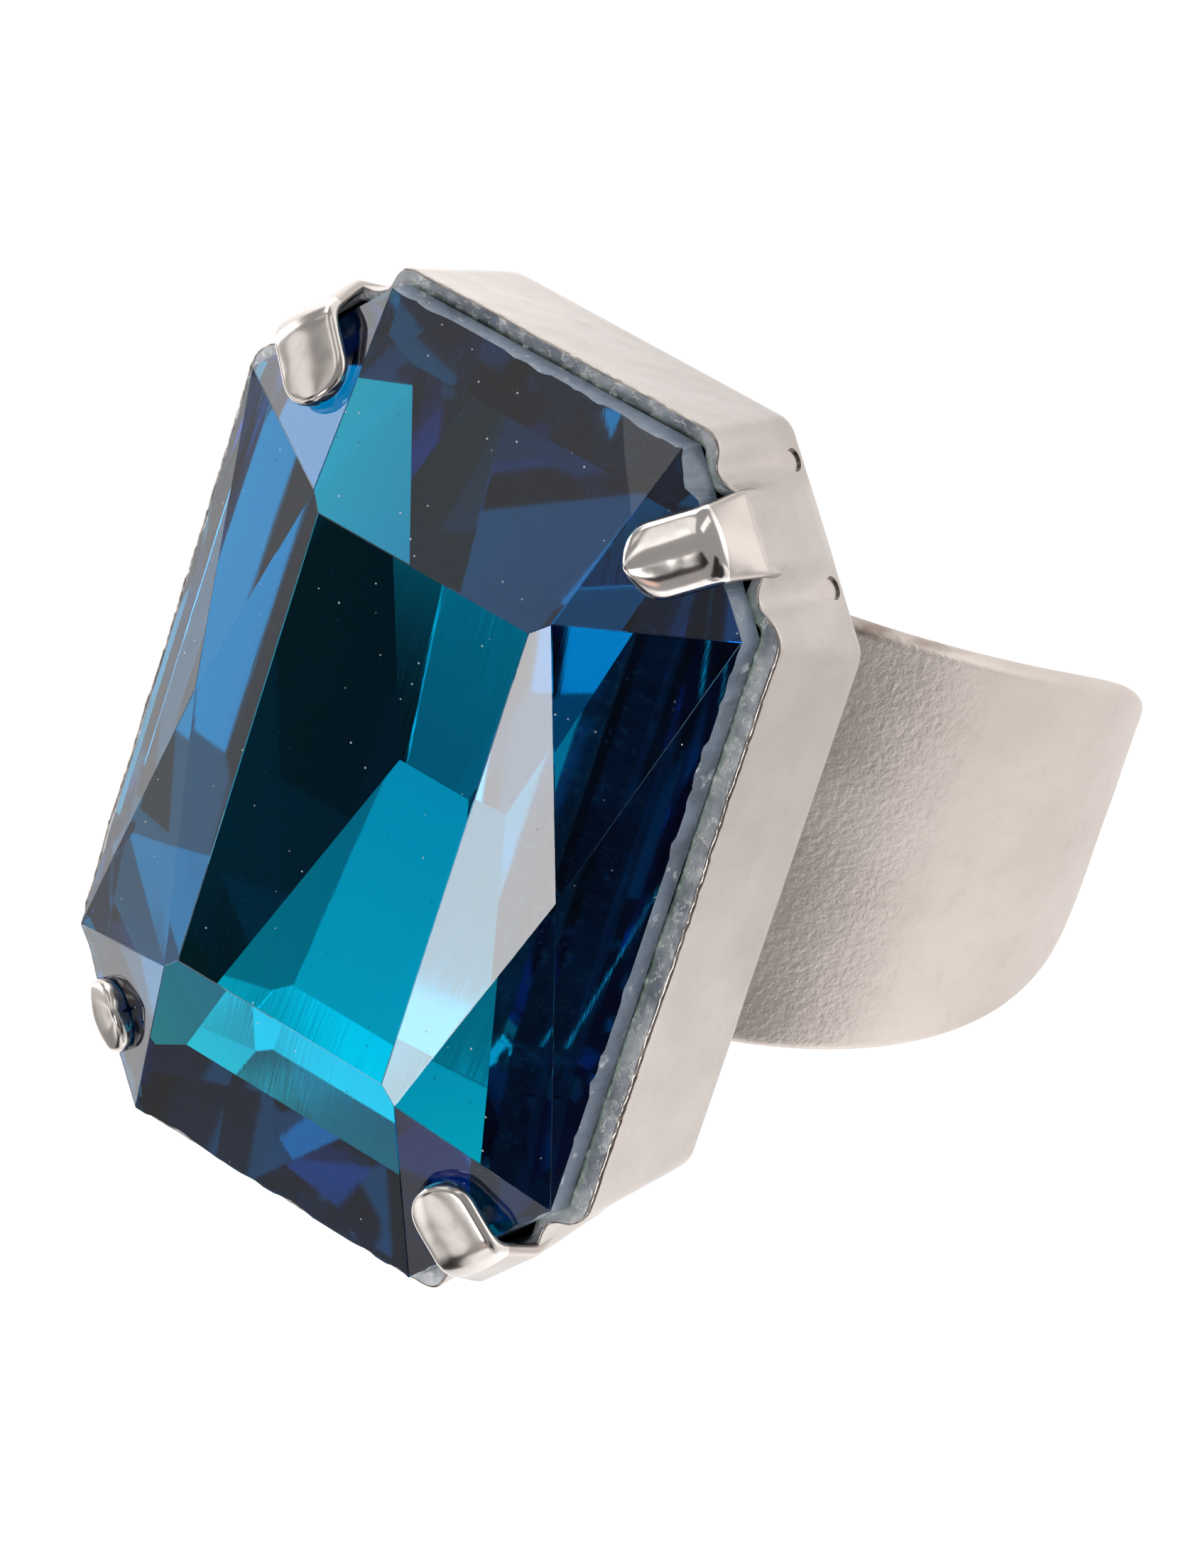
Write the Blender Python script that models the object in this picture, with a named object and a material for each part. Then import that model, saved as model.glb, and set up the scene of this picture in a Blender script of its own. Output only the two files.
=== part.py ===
"""Cocktail ring: a large octagon crystal in a four-prong cup, soldered to a wide open band.

The finger axis is Y, through the origin. The stone faces +Z. All sizes are in metres.
"""

from math import atan2, cos, hypot, pi, radians, sin, tan

import bmesh
import bpy
from mathutils import Vector

MM = 0.001

# Stone: outline at the crown's edge, table, and heights from that edge.
STONE_WIDTH = 18.4 * MM
STONE_LENGTH = 27.0 * MM
CORNER_CUT_X = 3.8 * MM
CORNER_CUT_Y = 4.28 * MM
TABLE_WIDTH = 7.9 * MM
TABLE_LENGTH = 14.6 * MM
CROWN_HEIGHT = 2.48 * MM
CORNER_TIP_Y = 7.79 * MM
SIDE_STAR_X = 6.91 * MM
UPPER_SIDE_SLOPE = 0.384
GIRDLE_HEIGHT = 0.9 * MM
PAVILION_BREAK_SCALE = 0.6
PAVILION_BREAK_DEPTH = 2.7 * MM
PAVILION_DEPTH = 3.9 * MM
KEEL_LENGTH = 9.0 * MM

# Band: an open strip with round ends, bent about the finger axis.
BAND_RADIUS = 11.5 * MM
BAND_THICKNESS = 0.9 * MM
BAND_WIDTH = 14.5 * MM
BAND_OFFSET_Y = 0.7 * MM
BAND_END_ANGLE = radians(124)
BAND_CUT_ANGLE = radians(123.4)
BAND_EDGE_ROUND = 0.12 * MM
BAND_EDGE_ANGLE = radians(50)
BAND_STEPS = 72
BAND_COLUMNS = 8

# Cup: outer outline, walls and floor. The stone's crown edge is at STONE_EDGE_Z.
STONE_EDGE_Z = 17.95 * MM
CUP_WIDTH = 19.9 * MM
CUP_LENGTH = 28.0 * MM
CUP_CORNER_GAP = 0.6 * MM
CUP_END_DRAFT = 0.4 * MM
CUP_CORNER_DRAFT = 0.7 * MM
CUP_RIM_DROP = 0.95 * MM
CUP_HEIGHT = 5.1 * MM
CUP_WALL = 0.35 * MM
CUP_FLOOR = 0.4 * MM
CUP_EDGE_ROUND = 0.45 * MM
CUP_EDGE_SEGMENTS = 3

# Prongs: strips that rise outside the cup's corners and fold over the stone.
PRONG_WIDTH = 2.3 * MM
PRONG_THICKNESS = 0.45 * MM
PRONG_OVERLAP = 0.1 * MM
PRONG_STONE_GAP = 0.35 * MM
PRONG_BEND_RADIUS = 0.65 * MM
PRONG_STEM_LEAN = 0.3 * MM
PRONG_TIP_REACH = 2.05 * MM
PRONG_TAB_FLATTER = radians(12)
PRONG_TIP_ROUND = 0.95 * MM
PRONG_TIP_SEGMENTS = 5
PRONG_FOOT_RISE = 0.5 * MM
BEND_STEPS = 8

# Thread holes through the cup's corner walls, one each side of a prong.
HOLE_RADIUS = 0.35 * MM
HOLE_LENGTH = 1.1 * MM
HOLE_SPREAD = 2.05 * MM
HOLE_HEIGHT = 0.9 * MM
HOLE_CUT_DEPTH = 1.2 * MM
HOLE_STEPS = 12

# Solder between the cup's floor and the band.
SOLDER_WIDTH = 6.6 * MM
SOLDER_LENGTH = 12.6 * MM
SOLDER_GAP = 0.14 * MM
SOLDER_STEPS = 12

# Geometric tolerances.
SAME_PLANE = radians(0.2)
SAME_PLACE = 1e-6


def clear_scene():
    for obj in list(bpy.data.objects):
        bpy.data.objects.remove(obj, do_unlink=True)


def material(name, colour, roughness, metallic, transmission=0.0):
    made = bpy.data.materials.new(name)
    made.use_nodes = True
    shader = made.node_tree.nodes["Principled BSDF"]
    shader.inputs["Base Color"].default_value = (*colour, 1.0)
    shader.inputs["Roughness"].default_value = roughness
    shader.inputs["Metallic"].default_value = metallic
    shader.inputs["Transmission Weight"].default_value = transmission
    return made


def add_object(name, bm, finish=None):
    """Turns a bmesh into a linked object, and frees it."""
    mesh = bpy.data.meshes.new(name)
    bmesh.ops.recalc_face_normals(bm, faces=bm.faces)
    bm.to_mesh(mesh)
    bm.free()
    if finish:
        mesh.materials.append(finish)
    obj = bpy.data.objects.new(name, mesh)
    bpy.context.collection.objects.link(obj)
    return obj


def corner_normal():
    """Outward direction of the corner facet in the +X +Y quarter."""
    return Vector((CORNER_CUT_Y, CORNER_CUT_X, 0)).normalized()


def stone_corner_distance():
    edge_point = Vector((STONE_WIDTH / 2 - CORNER_CUT_X, STONE_LENGTH / 2, 0))
    return edge_point.dot(corner_normal())


def octagon(half_x, half_y, corner_distance):
    """Corner points, anticlockwise, of a rectangle whose corner lines lie at corner_distance."""
    normal = corner_normal()
    x_at_end = (corner_distance - normal.y * half_y) / normal.x
    y_at_side = (corner_distance - normal.x * half_x) / normal.y
    return [
        (half_x, -y_at_side),
        (half_x, y_at_side),
        (x_at_end, half_y),
        (-x_at_end, half_y),
        (-half_x, y_at_side),
        (-half_x, -y_at_side),
        (-x_at_end, -half_y),
        (x_at_end, -half_y),
    ]


def mirrored(x, y, z):
    return [(sx * x, sy * y, z) for sx in (1, -1) for sy in (1, -1)]


def crown_points():
    half_x = STONE_WIDTH / 2
    half_y = STONE_LENGTH / 2
    table_x = TABLE_WIDTH / 2
    table_y = TABLE_LENGTH / 2
    end_slope = CROWN_HEIGHT / (half_y - table_y)
    tip_z = end_slope * (half_y - CORNER_TIP_Y)
    tip_x = table_x + (CROWN_HEIGHT - tip_z) / UPPER_SIDE_SLOPE
    star_z = CROWN_HEIGHT - UPPER_SIDE_SLOPE * (SIDE_STAR_X - table_x)
    points = mirrored(table_x, table_y, CROWN_HEIGHT)
    points += mirrored(tip_x, CORNER_TIP_Y, tip_z)
    points += [(SIDE_STAR_X, 0, star_z), (-SIDE_STAR_X, 0, star_z)]
    points += [(x, y, 0) for x, y in octagon(half_x, half_y, stone_corner_distance())]
    return points


def pavilion_points():
    outline = octagon(STONE_WIDTH / 2, STONE_LENGTH / 2, stone_corner_distance())
    scale = PAVILION_BREAK_SCALE
    break_z = -GIRDLE_HEIGHT - PAVILION_BREAK_DEPTH
    keel_z = -GIRDLE_HEIGHT - PAVILION_DEPTH
    points = [(x, y, -GIRDLE_HEIGHT) for x, y in outline]
    points += [(x * scale, y * scale, break_z) for x, y in outline]
    points += [(0, KEEL_LENGTH / 2, keel_z), (0, -KEEL_LENGTH / 2, keel_z)]
    return points


def make_crystal(finish):
    """The facets are the faces of the hull of the crown's and the pavilion's corners."""
    bm = bmesh.new()
    for point in crown_points() + pavilion_points():
        bm.verts.new(point)
    bmesh.ops.convex_hull(bm, input=bm.verts)
    bmesh.ops.dissolve_limit(bm, angle_limit=SAME_PLANE, verts=bm.verts, edges=bm.edges)
    crystal = add_object("crystal", bm, finish)
    crystal.location.z = STONE_EDGE_Z
    return crystal


def loft(name, low_outline, low_z, high_outline, high_z):
    """A closed solid between two outlines of (x, y) points, one to one."""
    bm = bmesh.new()
    low = [bm.verts.new((x, y, low_z)) for x, y in low_outline]
    high = [bm.verts.new((x, y, high_z)) for x, y in high_outline]
    bm.faces.new(low[::-1])
    bm.faces.new(high)
    for i, corner in enumerate(low):
        after = (i + 1) % len(low)
        bm.faces.new((corner, low[after], high[after], high[i]))
    return add_object(name, bm)


def cup_outline(inset, draft):
    """The cup's outline at a depth: draft is 0 at the rim and 1 at the floor."""
    distance = stone_corner_distance() + CUP_CORNER_GAP - CUP_CORNER_DRAFT * draft - inset
    half_y = CUP_LENGTH / 2 - CUP_END_DRAFT * draft - inset
    return octagon(CUP_WIDTH / 2 - inset, half_y, distance)


def corner_place(side_x, side_y, outwards, along, height):
    """A point and an angle at a corner, from the middle of the stone's edge there."""
    normal = corner_normal()
    angle = atan2(side_y * normal.y, side_x * normal.x)
    middle_x = side_x * (STONE_WIDTH - CORNER_CUT_X) / 2
    middle_y = side_y * (STONE_LENGTH - CORNER_CUT_Y) / 2
    x = middle_x + outwards * cos(angle) - along * sin(angle)
    y = middle_y + outwards * sin(angle) + along * cos(angle)
    return (x, y, STONE_EDGE_Z + height), angle


def round_edges(bm, edges, radius, segments):
    bmesh.ops.bevel(
        bm, geom=edges, offset=radius, segments=segments, affect="EDGES", profile=0.5
    )


def hide_cutter(obj):
    obj.hide_render = True
    obj.display_type = "WIRE"


def boolean(target, tool, operation):
    modifier = target.modifiers.new(operation.lower() + "_" + tool.name, "BOOLEAN")
    modifier.operation = operation
    modifier.object = tool
    modifier.solver = "EXACT"
    hide_cutter(tool)


def make_cup_shell():
    """The stamped cup: eight walls on a flat floor, open on top, round at the floor's edge."""
    rim_z = STONE_EDGE_Z - CUP_RIM_DROP
    floor_z = rim_z - CUP_HEIGHT
    cup = loft("prong_setting", cup_outline(0, 1), floor_z, cup_outline(0, 0), rim_z)
    bm = bmesh.new()
    bm.from_mesh(cup.data)
    floor_edges = [
        e for e in bm.edges if all(abs(v.co.z - floor_z) < SAME_PLACE for v in e.verts)
    ]
    round_edges(bm, floor_edges, CUP_EDGE_ROUND, CUP_EDGE_SEGMENTS)
    bm.to_mesh(cup.data)
    bm.free()
    pocket_low = floor_z + CUP_FLOOR
    pocket_high = rim_z + MM
    low_draft = 1 - CUP_FLOOR / CUP_HEIGHT
    high_draft = -MM / CUP_HEIGHT
    pocket = loft(
        "cup_pocket",
        cup_outline(CUP_WALL, low_draft),
        pocket_low,
        cup_outline(CUP_WALL, high_draft),
        pocket_high,
    )
    boolean(cup, pocket, "DIFFERENCE")
    return cup


def corner_slope_angle():
    """Angle of the crown's corner facets from the horizontal."""
    table_y = TABLE_LENGTH / 2
    end_slope = CROWN_HEIGHT / (STONE_LENGTH / 2 - table_y)
    tip_z = end_slope * (STONE_LENGTH / 2 - CORNER_TIP_Y)
    tip_x = TABLE_WIDTH / 2 + (CROWN_HEIGHT - tip_z) / UPPER_SIDE_SLOPE
    tip_distance = Vector((tip_x, CORNER_TIP_Y, 0)).dot(corner_normal())
    return atan2(tip_z, stone_corner_distance() - tip_distance)


def corner_wall_place(height):
    """How far outwards a corner wall's outer face lies, at a height above the floor."""
    return CUP_CORNER_GAP - CUP_CORNER_DRAFT * (1 - height / CUP_HEIGHT)


def fillet(before, corner, after, radius):
    """Points of the arc that rounds a corner between two straight runs."""
    towards_before = (Vector(before) - Vector(corner)).normalized()
    towards_after = (Vector(after) - Vector(corner)).normalized()
    half_angle = towards_before.angle(towards_after) / 2
    start = Vector(corner) + towards_before * radius / tan(half_angle)
    middle = (towards_before + towards_after).normalized()
    centre = Vector(corner) + middle * radius / sin(half_angle)
    spoke = start - centre
    turn = pi - 2 * half_angle
    points = []
    for step in range(BEND_STEPS + 1):
        angle = turn * step / BEND_STEPS
        x = spoke.x * cos(angle) - spoke.y * sin(angle)
        y = spoke.x * sin(angle) + spoke.y * cos(angle)
        points.append((centre.x + x, centre.y + y))
    return points


def prong_centreline():
    """(distance outwards from the crown's corner edge, height above it) along one prong."""
    slope = corner_slope_angle()
    lift = PRONG_STONE_GAP + PRONG_THICKNESS / 2
    stem_foot = CUP_CORNER_GAP - PRONG_OVERLAP + PRONG_THICKNESS / 2
    stem_top = stem_foot - PRONG_STEM_LEAN
    foot = (stem_foot, PRONG_FOOT_RISE - CUP_RIM_DROP - CUP_HEIGHT)
    rim = (stem_foot, -CUP_RIM_DROP)
    tip_z = PRONG_TIP_REACH * tan(slope) + lift / cos(slope)
    bend_z = tip_z - (stem_top + PRONG_TIP_REACH) * tan(slope - PRONG_TAB_FLATTER)
    tip = (-PRONG_TIP_REACH, tip_z)
    return [foot, rim] + fillet(rim, (stem_top, bend_z), tip, PRONG_BEND_RADIUS) + [tip]


def offset_side(points, distance):
    """The centreline moved sideways, for the strip's outer or inner face."""
    moved = []
    for i, (n, z) in enumerate(points):
        before = points[max(i - 1, 0)]
        after = points[min(i + 1, len(points) - 1)]
        dn = after[0] - before[0]
        dz = after[1] - before[1]
        size = hypot(dn, dz)
        moved.append((n + distance * dz / size, z - distance * dn / size))
    return moved


def make_prong(name, side_x, side_y):
    """A strip along the centreline, with a round tip and a foot that thickens to the wall."""
    centreline = prong_centreline()
    outer = offset_side(centreline, PRONG_THICKNESS / 2)
    inner = offset_side(centreline, -PRONG_THICKNESS / 2)
    inner[0] = (corner_wall_place(PRONG_FOOT_RISE) - PRONG_OVERLAP, centreline[0][1])
    bm = bmesh.new()
    section = [bm.verts.new((n, -PRONG_WIDTH / 2, z)) for n, z in outer + inner[::-1]]
    face = bm.faces.new(section)
    swept = bmesh.ops.extrude_face_region(bm, geom=[face])
    raised = [item for item in swept["geom"] if isinstance(item, bmesh.types.BMVert)]
    bmesh.ops.translate(bm, verts=raised, vec=(0, PRONG_WIDTH, 0))
    tip_z = min(outer[-1][1], inner[-1][1]) - SAME_PLACE
    tip_n = max(outer[-1][0], inner[-1][0]) + SAME_PLACE
    tip_edges = [
        e
        for e in bm.edges
        if all(v.co.z > tip_z and v.co.x < tip_n for v in e.verts)
        and abs(e.verts[0].co.y - e.verts[1].co.y) < SAME_PLACE
    ]
    round_edges(bm, tip_edges, PRONG_TIP_ROUND, PRONG_TIP_SEGMENTS)
    prong = add_object(name, bm)
    prong.location, prong.rotation_euler.z = corner_place(side_x, side_y, 0, 0, 0)
    return prong


def make_thread_hole(name, side_x, side_y, along):
    """A teardrop cutter through a corner wall, beside a prong's stem."""
    bm = bmesh.new()
    outline = []
    for step in range(HOLE_STEPS + 1):
        angle = pi + pi * step / HOLE_STEPS
        outline.append((HOLE_RADIUS * cos(angle), HOLE_RADIUS * sin(angle)))
    outline.append((0, HOLE_LENGTH - HOLE_RADIUS))
    face = bm.faces.new([bm.verts.new((-HOLE_CUT_DEPTH / 2, y, z)) for y, z in outline])
    swept = bmesh.ops.extrude_face_region(bm, geom=[face])
    raised = [item for item in swept["geom"] if isinstance(item, bmesh.types.BMVert)]
    bmesh.ops.translate(bm, verts=raised, vec=(HOLE_CUT_DEPTH, 0, 0))
    outwards = corner_wall_place(HOLE_HEIGHT) - CUP_WALL / 2
    height = HOLE_HEIGHT - CUP_RIM_DROP - CUP_HEIGHT
    hole = add_object(name, bm)
    hole.location, hole.rotation_euler.z = corner_place(
        side_x, side_y, outwards, along, height
    )
    return hole


def make_setting(finish):
    """One stamped piece: the cup with its four prongs."""
    cup = make_cup_shell()
    cup.data.materials.append(finish)
    for side_x in (1, -1):
        for side_y in (1, -1):
            tag = ("r" if side_x > 0 else "l") + ("t" if side_y > 0 else "b")
            boolean(cup, make_prong("prong_" + tag, side_x, side_y), "UNION")
            for along in (HOLE_SPREAD, -HOLE_SPREAD):
                side = "a" if along > 0 else "b"
                hole = make_thread_hole("hole_" + tag + side, side_x, side_y, along)
                boolean(cup, hole, "DIFFERENCE")
    return cup


def band_half_width(angle):
    """Half of the strip's width at an angle from the top."""
    return BAND_WIDTH / 2 * (1 - (angle / BAND_END_ANGLE) ** 2) ** (1 / 3)


def make_band(finish):
    """The strip's outer face as a grid, given its thickness by Solidify."""
    bm = bmesh.new()
    rows = []
    for step in range(BAND_STEPS + 1):
        angle = BAND_CUT_ANGLE * sin(pi / 2 * (2 * step / BAND_STEPS - 1))
        half = band_half_width(angle)
        x = BAND_RADIUS * sin(angle)
        z = BAND_RADIUS * cos(angle)
        row = []
        for column in range(BAND_COLUMNS + 1):
            y = BAND_OFFSET_Y + half * (2 * column / BAND_COLUMNS - 1)
            row.append(bm.verts.new((x, y, z)))
        rows.append(row)
    for low, high in zip(rows, rows[1:]):
        for a, b, c, d in zip(low, high, high[1:], low[1:]):
            bm.faces.new((a, b, c, d))
    mesh = bpy.data.meshes.new("band")
    bm.to_mesh(mesh)
    bm.free()
    mesh.materials.append(finish)
    mesh.shade_smooth()
    band = bpy.data.objects.new("band", mesh)
    bpy.context.collection.objects.link(band)
    solidify = band.modifiers.new("thickness", "SOLIDIFY")
    solidify.thickness = BAND_THICKNESS
    solidify.offset = -1
    solidify.use_even_offset = True
    bevel = band.modifiers.new("edge_round", "BEVEL")
    bevel.width = BAND_EDGE_ROUND
    bevel.segments = 2
    bevel.limit_method = "ANGLE"
    bevel.angle_limit = BAND_EDGE_ANGLE
    return band


def make_solder(finish):
    """Solder that fills the wedge between the flat floor and the curved band."""
    top_z = STONE_EDGE_Z - CUP_RIM_DROP - CUP_HEIGHT - SOLDER_GAP
    radius = BAND_RADIUS + SOLDER_GAP
    half = SOLDER_WIDTH / 2
    section = [(half, top_z), (-half, top_z)]
    for step in range(SOLDER_STEPS + 1):
        x = -half + SOLDER_WIDTH * step / SOLDER_STEPS
        section.append((x, (radius**2 - x**2) ** 0.5))
    bm = bmesh.new()
    near = BAND_OFFSET_Y - SOLDER_LENGTH / 2
    face = bm.faces.new([bm.verts.new((x, near, z)) for x, z in section])
    swept = bmesh.ops.extrude_face_region(bm, geom=[face])
    raised = [item for item in swept["geom"] if isinstance(item, bmesh.types.BMVert)]
    bmesh.ops.translate(bm, verts=raised, vec=(0, SOLDER_LENGTH, 0))
    return add_object("solder_joint", bm, finish)


def main():
    clear_scene()
    crystal_glass = material("crystal_glass", (0.0, 0.22, 0.36), 0.02, 0.0, 0.6)
    plated_metal = material("plated_metal", (0.72, 0.69, 0.66), 0.3, 1.0)
    solder_metal = material("solder_metal", (0.5, 0.49, 0.47), 0.45, 1.0)
    make_crystal(crystal_glass)
    make_setting(plated_metal)
    make_solder(solder_metal)
    make_band(plated_metal)


main()
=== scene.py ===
"""Looks of the cocktail ring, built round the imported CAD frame: crystal, setting, solder, band."""

from math import atan2, cos, exp, hypot, pi, radians, sin, sqrt, tan

import bmesh
import bpy
from mathutils import Matrix, Vector, noise


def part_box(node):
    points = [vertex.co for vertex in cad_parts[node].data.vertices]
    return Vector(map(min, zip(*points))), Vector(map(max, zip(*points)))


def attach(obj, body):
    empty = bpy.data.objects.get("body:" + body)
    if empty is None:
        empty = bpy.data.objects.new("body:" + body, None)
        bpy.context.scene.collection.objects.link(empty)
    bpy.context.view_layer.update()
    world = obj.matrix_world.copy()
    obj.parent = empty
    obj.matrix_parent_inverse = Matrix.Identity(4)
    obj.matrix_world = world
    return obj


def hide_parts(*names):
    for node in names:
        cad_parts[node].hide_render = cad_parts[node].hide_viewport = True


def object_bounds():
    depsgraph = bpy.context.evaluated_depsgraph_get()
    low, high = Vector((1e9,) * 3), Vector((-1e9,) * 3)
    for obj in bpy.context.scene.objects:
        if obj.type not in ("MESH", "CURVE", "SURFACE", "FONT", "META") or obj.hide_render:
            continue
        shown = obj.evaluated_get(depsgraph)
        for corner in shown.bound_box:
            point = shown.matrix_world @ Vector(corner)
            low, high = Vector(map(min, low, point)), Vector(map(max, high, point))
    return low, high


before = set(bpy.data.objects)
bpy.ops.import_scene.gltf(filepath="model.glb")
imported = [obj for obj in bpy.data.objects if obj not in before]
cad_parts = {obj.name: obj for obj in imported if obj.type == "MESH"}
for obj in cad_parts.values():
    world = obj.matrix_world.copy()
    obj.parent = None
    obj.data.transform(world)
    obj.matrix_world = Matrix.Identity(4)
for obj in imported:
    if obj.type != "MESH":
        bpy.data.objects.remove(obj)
CAD_LOW, CAD_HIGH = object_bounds()

MM = 0.001

# Stone, as the CAD has it: outline at the crown's edge, table and heights from that edge.
CRYSTAL_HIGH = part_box("crystal")[1]
STONE_HALF_X = CRYSTAL_HIGH.x
STONE_HALF_Y = CRYSTAL_HIGH.y
CORNER_CUT_X = 3.8 * MM
CORNER_CUT_Y = 4.28 * MM
TABLE_HALF_X = 3.95 * MM
TABLE_HALF_Y = 7.3 * MM
CROWN_HEIGHT = 2.48 * MM
CORNER_TIP_Y = 7.79 * MM
SIDE_STAR_X = 6.91 * MM
UPPER_SIDE_SLOPE = 0.384
GIRDLE_HEIGHT = 0.9 * MM
EDGE_Z = CRYSTAL_HIGH.z - CROWN_HEIGHT

# Cup, as the CAD has it.
SETTING_LOW, SETTING_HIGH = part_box("prong_setting")
CUP_HALF_X = SETTING_HIGH.x
CUP_HALF_Y = SETTING_HIGH.y
CUP_CORNER_GAP = 0.6 * MM
CUP_END_DRAFT = 0.4 * MM
CUP_CORNER_DRAFT = 0.7 * MM
RIM_Z = EDGE_Z - 0.95 * MM
CUP_FLOOR_Z = SETTING_LOW.z
CUP_HEIGHT = RIM_Z - CUP_FLOOR_Z
CUP_FLOOR = 0.4 * MM

# Band, as the CAD has it.
BAND_LOW, BAND_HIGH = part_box("band")
BAND_RADIUS = BAND_HIGH.z
BAND_THICKNESS = 0.9 * MM
BAND_HALF_WIDTH = (BAND_HIGH.y - BAND_LOW.y) / 2
BAND_MIDDLE_Y = (BAND_HIGH.y + BAND_LOW.y) / 2
BAND_END_ANGLE = radians(124)

# Camera: where it looks from, and at. Its lens and sensor are in Blender's own millimetres.
CAMERA_AZIMUTH = radians(127.82)
CAMERA_ELEVATION = radians(53.93)
CAMERA_ROLL = radians(-103.77)
CAMERA_TARGET = Vector((4.3, 1.76, 14.7)) * MM
CAMERA_DISTANCE = 246.9 * MM
CAMERA_LENS = 195.56
CAMERA_SENSOR = 36.0
CAMERA_NEAR = 0.01
CAMERA_FAR = 10.0


# ---------------------------------------------------------------- node helpers


class Nodes:
    """Short calls for building a node tree."""

    def __init__(self, tree):
        self.tree = tree

    def add(self, kind, links=(), **values):
        node = self.tree.nodes.new(kind)
        for key, value in values.items():
            setattr(node, key, value)
        for socket, source in links:
            self.put(node, socket, source)
        return node

    def put(self, node, socket, source):
        if isinstance(source, bpy.types.NodeSocket):
            self.tree.links.new(source, node.inputs[socket])
        else:
            node.inputs[socket].default_value = source

    def span(self, source, low, high, to_low=0.0, to_high=1.0):
        links = [("Value", source), ("From Min", low), ("From Max", high)]
        links += [("To Min", to_low), ("To Max", to_high)]
        return self.add("ShaderNodeMapRange", links).outputs[0]

    def maths(self, operation, first, second=0.5):
        return self.add("ShaderNodeMath", [(0, first), (1, second)], operation=operation).outputs[0]

    def blend(self, factor, first, second):
        node = self.add("ShaderNodeMix", data_type="RGBA")
        self.put(node, 0, factor)
        self.put(node, 6, first)
        self.put(node, 7, second)
        return node.outputs[2]


class Surface(Nodes):
    """A new material on the Principled shader, and short calls for its textures."""

    def __init__(self, name):
        self.material = bpy.data.materials.new(name)
        self.material.use_nodes = True
        super().__init__(self.material.node_tree)
        self.shader = self.tree.nodes["Principled BSDF"]
        self.output = self.tree.nodes["Material Output"]
        self.place = self.add("ShaderNodeTexCoord").outputs["Object"]

    def set(self, **sockets):
        for name, source in sockets.items():
            self.put(self.shader, name.replace("_", " "), source)

    def axis(self, letter):
        """One coordinate of the place on the object."""
        return self.add("ShaderNodeSeparateXYZ", [(0, self.place)]).outputs[letter]

    def mapped(self, scale):
        return self.add("ShaderNodeMapping", [("Vector", self.place), ("Scale", scale)]).outputs[0]

    def noise(self, scale, detail=4.0, rough=0.55, vector=None):
        links = [("Vector", vector or self.place), ("Scale", scale)]
        links += [("Detail", detail), ("Roughness", rough)]
        return self.add("ShaderNodeTexNoise", links).outputs["Fac"]

    def cells(self, scale):
        links = [("Vector", self.place), ("Scale", scale)]
        return self.add("ShaderNodeTexVoronoi", links).outputs["Distance"]

    def bump(self, height, strength, distance, normal=None):
        links = [("Height", height), ("Strength", strength), ("Distance", distance)]
        node = self.add("ShaderNodeBump", links)
        if normal:
            self.tree.links.new(normal, node.inputs["Normal"])
        return node.outputs[0]

    def scratches(self, scale, stretch, low, high):
        """Fine lines: a noise stretched along one direction, cut to its crests."""
        lines = self.noise(scale, 2.0, 0.5, self.mapped(stretch))
        return self.span(lines, low, high)

    def absorb(self, colour, density):
        """Colours the glass by how far light runs through it."""
        volume = self.add("ShaderNodeVolumeAbsorption")
        volume.inputs["Color"].default_value = colour
        volume.inputs["Density"].default_value = density
        self.tree.links.new(volume.outputs[0], self.output.inputs["Volume"])


def grey(value):
    """A neutral colour."""
    return (value, value, value, 1.0)


# ------------------------------------------------------------------- materials


# Where the band's finish changes: heights below its top, and distances from its far edge.
GRAIN_STARTS = 7.6 * MM
GRAIN_FULL = 5.2 * MM
BARE_HEIGHT_STARTS = 11.5 * MM
BARE_HEIGHT_FULL = 7.5 * MM
BARE_EDGE_STARTS = 0.66 * MM
BARE_EDGE_FULL = 0.5 * MM
BARE_METAL = (0.17, 0.115, 0.085, 1)


def near_cup(n):
    """1 on the band's shoulders close under the cup, where the plate is grainy, and 0 lower."""
    return n.span(n.axis("Z"), BAND_HIGH.z - GRAIN_STARTS, BAND_HIGH.z - GRAIN_FULL)


def bare_edge(n):
    """1 on the worn far edge of the strip close to the cup, where the base metal shows."""
    edge = n.span(n.axis("Y"), BAND_HIGH.y - BARE_EDGE_STARTS, BAND_HIGH.y - BARE_EDGE_FULL)
    near = n.span(n.axis("Z"), BAND_HIGH.z - BARE_HEIGHT_STARTS, BAND_HIGH.z - BARE_HEIGHT_FULL)
    worn = n.span(n.noise(500.0, 3.0), 0.25, 0.6)
    return n.maths("MULTIPLY", n.maths("MULTIPLY", edge, near), worn)


# A satin finish scatters light as well as mirroring it, so it counts as less metallic.
SATIN_SCATTER = 1.3

# Two cloudy tones and a duller one for each finish of the plate. The polished tab's tones,
# lighter than the wall's, are a painted highlight.
PLATE_TONES = {
    "plated_metal": ((0.345, 0.306, 0.283, 1), (0.398, 0.357, 0.332, 1), (0.30, 0.262, 0.236, 1)),
    "plated_metal_band": ((0.515, 0.453, 0.414, 1), (0.60, 0.535, 0.494, 1), (0.45, 0.39, 0.355, 1)),
    "plated_metal_worn": ((0.52, 0.475, 0.445, 1), (0.60, 0.555, 0.52, 1), (0.42, 0.375, 0.345, 1)),
    "plated_metal_tab": ((0.66, 0.605, 0.57, 1), (0.74, 0.69, 0.655, 1), (0.52, 0.46, 0.42, 1)),
}


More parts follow.
